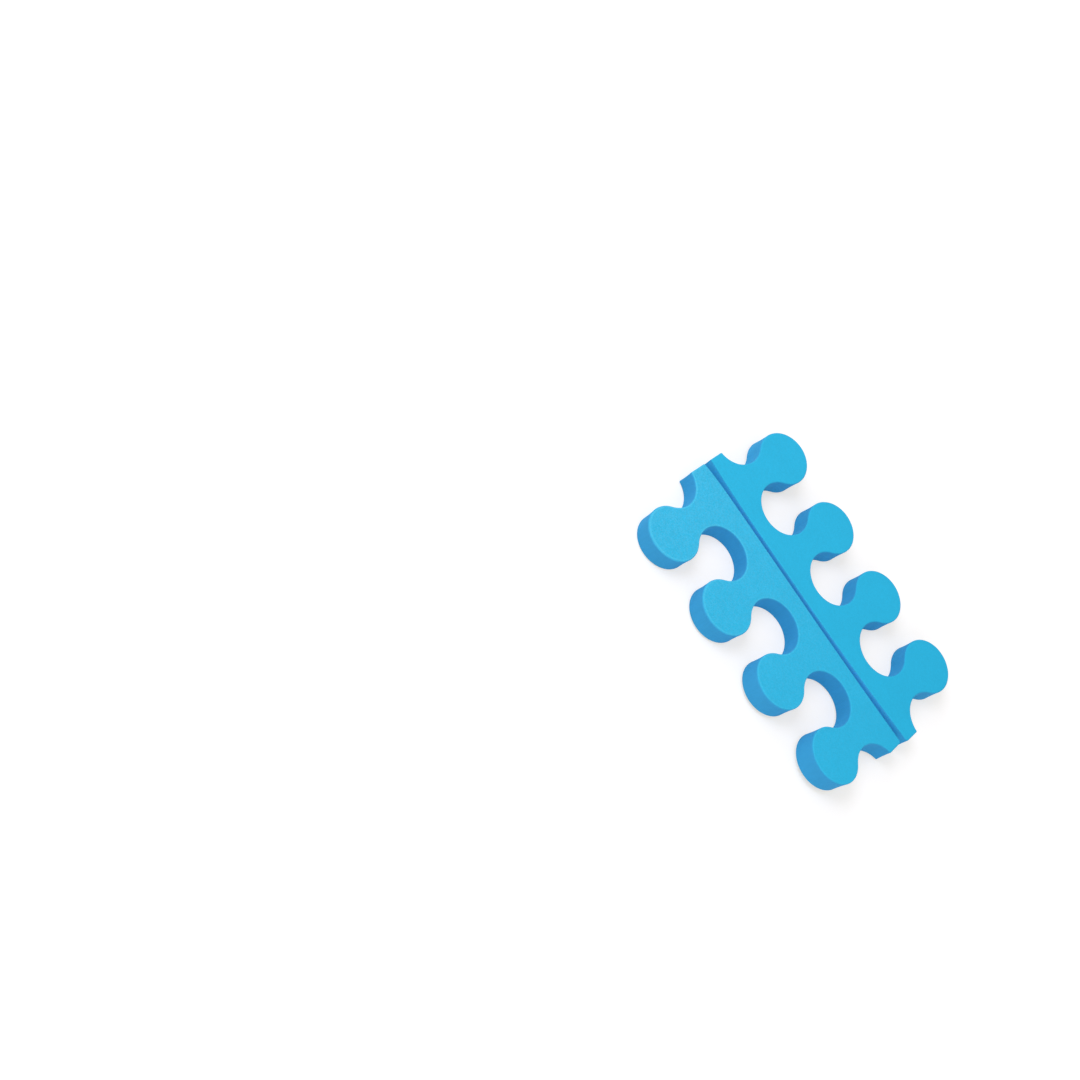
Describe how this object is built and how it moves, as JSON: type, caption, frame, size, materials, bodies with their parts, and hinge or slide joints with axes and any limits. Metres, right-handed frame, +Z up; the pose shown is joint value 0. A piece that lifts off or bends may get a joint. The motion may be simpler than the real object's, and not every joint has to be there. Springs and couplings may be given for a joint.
{
  "type": "toe separator",
  "caption": "Flat foam toe separator sheet: combs of round-headed knobs with round toe sockets between them, joined back to back along a scored tear line.",
  "frame": {"origin": "the middle of the sheet's underside, which lies flat on Z = 0", "axes": "+X along the score between the combs, the sheet's longest side; +Y across the score, towards one comb's knobs; +Z up through the sheet's thickness, to the scored face"},
  "size_m": [0.094, 0.0674, 0.006],
  "materials": {
    "foam": "matte"
  },
  "bodies": {
    "root": {"toe_separator": "foam"}
  },
  "joints": []
}
